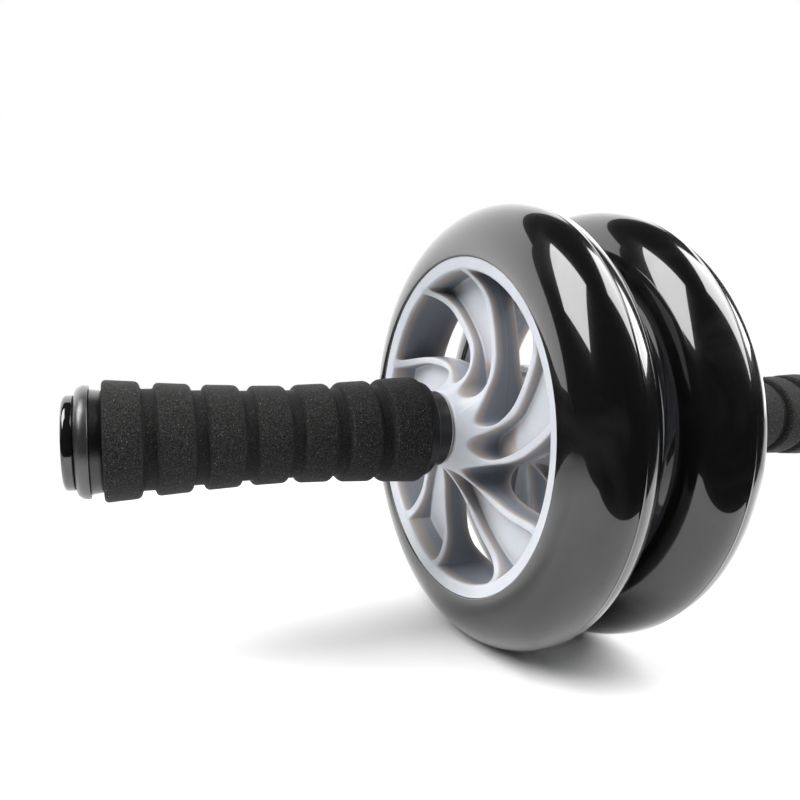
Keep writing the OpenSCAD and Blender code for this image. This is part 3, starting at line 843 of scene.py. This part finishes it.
for sideName, side in sides.items():
    wheel = sideName + "_wheel"
    newPiece(wheel + "_moulded_rim", wheelRim(side, rim["turn"][sideName]), materials["rim_plastic"],
             wheel, wheel + "_rim")
    newPiece(sideName + "_gloss_tyre", turned(tyreSection(side), tyre["turns"]), materials["tyre"],
             wheel, sideName + "_tyre")
    grip = newPiece(sideName + "_ribbed_foam", foamGrip(side), materials["foam"],
                    "root", sideName + "_foam_grip")
    for name, section, slot, replaced in (
            ("_moulded_core", coreSection(), "handle_plastic", "_handle_core"),
            ("_rubber_end_ring", endRingSection(), "end_ring_rubber", "_end_ring"),
            ("_gloss_end_cap", endCapSection(), "cap_plastic", "_end_cap")):
        newPiece(sideName + name, turned(mirrored(section, side), handle["turns"]), materials[slot],
                 "root", sideName + replaced)
    print(sideName, "wheel and handle made")

for name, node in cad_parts.items():
    if not name.endswith(("_rim", "_tyre", "_foam_grip", "_handle_core", "_end_ring", "_end_cap")):
        slot = "bush_plastic" if name.endswith(("bush", "thrust_washer", "spacer")) else "steel"
        node.data.materials.clear()
        node.data.materials.append(materials[slot])
print("other nodes given their finish")


# camera, as the photograph's

view = {
    "at": (-163.75, -227.9, 26.3), "azimuth": -20.454, "elevation": 5.297,
    "focal": 627.85, "centre": (353.2, 421.8), "image": 800,   # in pixels
    "sensor": 36, "clip": (0.01, 50),
}
camData = bpy.data.cameras.new("photo_camera")
cam = bpy.data.objects.new("photo_camera", camData)
bpy.context.scene.collection.objects.link(cam)
bpy.context.scene.camera = cam
cam.location = [v * mm for v in view["at"]]
cam.rotation_euler = (math.radians(90 - view["elevation"]), 0, math.radians(view["azimuth"]))
camData.sensor_width = view["sensor"]
camData.lens = view["focal"] / view["image"] * view["sensor"]
camData.shift_x = (view["image"] / 2 - view["centre"][0]) / view["image"]
camData.shift_y = (view["centre"][1] - view["image"] / 2) / view["image"]
camData.clip_start, camData.clip_end = view["clip"]


# studio: a white table and backdrop, and two softboxes that show in the tyres

studio = {
    "floorZ": -0.0901, "floorSize": 12, "floorWhite": 0.9, "floorRough": 0.9, "floorShine": 0.1,
    "plainFrom": 0.3, "plainTo": 0.5,   # the floor turns from lit to plain white between these
    "tableFront": -0.19, "tableSlant": -0.39, "tableSlantAt": -0.282,   # its left part runs back at a slant
    "tableEnd": (-0.68, -0.5),   # and fades out between these two
    "backdrop": 2.4, "backdropOnMatt": 2.0, "dark": 0.02,
    "backdropLeft": 1.6, "backdropTop": 2.05,   # slopes of its left and upper edges, seen from the origin
    "target": (-0.025, -0.075, 0.05),
    "left": {"towards": (-0.67, -0.096, 0.737), "across": (0.03, -0.99, -0.09), "size": (0.54, 0.80),
             "far": 1.0, "watts": 14.3},
    "right": {"towards": (0.673, -0.358, 0.648), "across": (-0.41, -0.91, -0.06), "size": (0.65, 0.90),
              "far": 1.0, "watts": 16.6},
}


def softbox(name, values):
    data = bpy.data.lights.new(name, "AREA")
    data.shape = "RECTANGLE"
    data.size, data.size_y = values["size"]
    data.energy = values["watts"]
    lamp = bpy.data.objects.new(name, data)
    bpy.context.scene.collection.objects.link(lamp)
    back = Vector(values["towards"]).normalized()
    across = Vector(values["across"])
    across = (across - back * across.dot(back)).normalized()
    facing = Matrix((across, back.cross(across), back)).transposed().to_4x4()
    lamp.matrix_world = Matrix.Translation(Vector(studio["target"]) + back * values["far"]) @ facing
    lamp.visible_camera = False


softbox("left_softbox", studio["left"])
softbox("right_softbox", studio["right"])

bpy.context.scene.view_settings.view_transform = "Standard"
floorMesh = bpy.data.meshes.new("floor")
bm = bmesh.new()
bmesh.ops.create_grid(bm, x_segments=1, y_segments=1, size=studio["floorSize"] / 2)
bmesh.ops.translate(bm, verts=bm.verts, vec=(0, 0, studio["floorZ"]))
bm.to_mesh(floorMesh)
bm.free()
floor = bpy.data.objects.new("floor", floorMesh)
bpy.context.scene.collection.objects.link(floor)

# to the camera the floor is white all over; in reflections and bounced light only where the table lies
floorMaterial = bpy.data.materials.new("white_floor")
floorMaterial.use_nodes = True
tree = floorMaterial.node_tree
white = tree.nodes["Principled BSDF"]
give(tree, white.inputs["Base Color"], (studio["floorWhite"],) * 3 + (1,))
give(tree, white.inputs["Roughness"], studio["floorRough"])
give(tree, white.inputs["Specular IOR Level"], studio["floorShine"])
dark = newNode(tree, "ShaderNodeEmission", {"Color": (studio["dark"],) * 3 + (1,)})
plain = newNode(tree, "ShaderNodeEmission")
coords = newNode(tree, "ShaderNodeTexCoord").outputs["Object"]
split = newNode(tree, "ShaderNodeSeparateXYZ", {"Vector": coords}).outputs
slant = calc(tree, "MULTIPLY_ADD", split["X"], studio["tableSlant"], studio["tableSlantAt"])
pastFront = calc(tree, "LESS_THAN", split["Y"], studio["tableFront"])
pastSlant = calc(tree, "LESS_THAN", split["Y"], slant)
pastEnd = ranged(tree, split["X"], 1, 0, *studio["tableEnd"])
outside = calc(tree, "MAXIMUM", calc(tree, "MAXIMUM", pastFront, pastSlant), pastEnd)
rays = newNode(tree, "ShaderNodeLightPath").outputs
far = newNode(tree, "ShaderNodeVectorMath", {"Vector": coords}, operation="LENGTH").outputs["Value"]
level = ranged(tree, far, 0, 1, studio["plainFrom"], studio["plainTo"])
seen = calc(tree, "MAXIMUM", rays["Is Camera Ray"], rays["Is Glossy Ray"])
table = mixedShaders(tree, calc(tree, "MULTIPLY", level, seen), white.outputs[0], plain.outputs[0])
unseen = calc(tree, "LESS_THAN", rays["Is Camera Ray"], 0.5)
surface = mixedShaders(tree, calc(tree, "MULTIPLY", outside, unseen), table, dark.outputs[0])
give(tree, tree.nodes["Material Output"].inputs["Surface"], surface)
floorMesh.materials.append(floorMaterial)

# world: white to the camera, and a white backdrop in a dark room to everything else
world = bpy.data.worlds.new("studio")
bpy.context.scene.world = world
world.use_nodes = True
tree = world.node_tree
coords = newNode(tree, "ShaderNodeTexCoord").outputs["Generated"]
split = newNode(tree, "ShaderNodeSeparateXYZ", {"Vector": coords}).outputs
x, y, z = (split[k] for k in "XYZ")
behind = calc(tree, "GREATER_THAN", y, 0)
rightOf = calc(tree, "LESS_THAN", calc(tree, "MULTIPLY", y, -studio["backdropLeft"]), x)
below = calc(tree, "LESS_THAN", z, calc(tree, "MULTIPLY", y, studio["backdropTop"]))
inside = calc(tree, "MULTIPLY", calc(tree, "MULTIPLY", behind, rightOf), below)
rays = newNode(tree, "ShaderNodeLightPath").outputs
bright = ranged(tree, rays["Is Diffuse Ray"], studio["backdrop"], studio["backdropOnMatt"])
room = ranged(tree, inside, studio["dark"], bright)
shown = calc(tree, "MAXIMUM", rays["Is Camera Ray"], rays["Is Transmission Ray"])
strength = newNode(tree, "ShaderNodeMix", {"Factor": shown, "A": room, "B": 1}).outputs["Result"]
background = tree.nodes["Background"]
give(tree, background.inputs["Strength"], strength)
give(tree, background.inputs["Color"], (1, 1, 1, 1))
print("studio made")
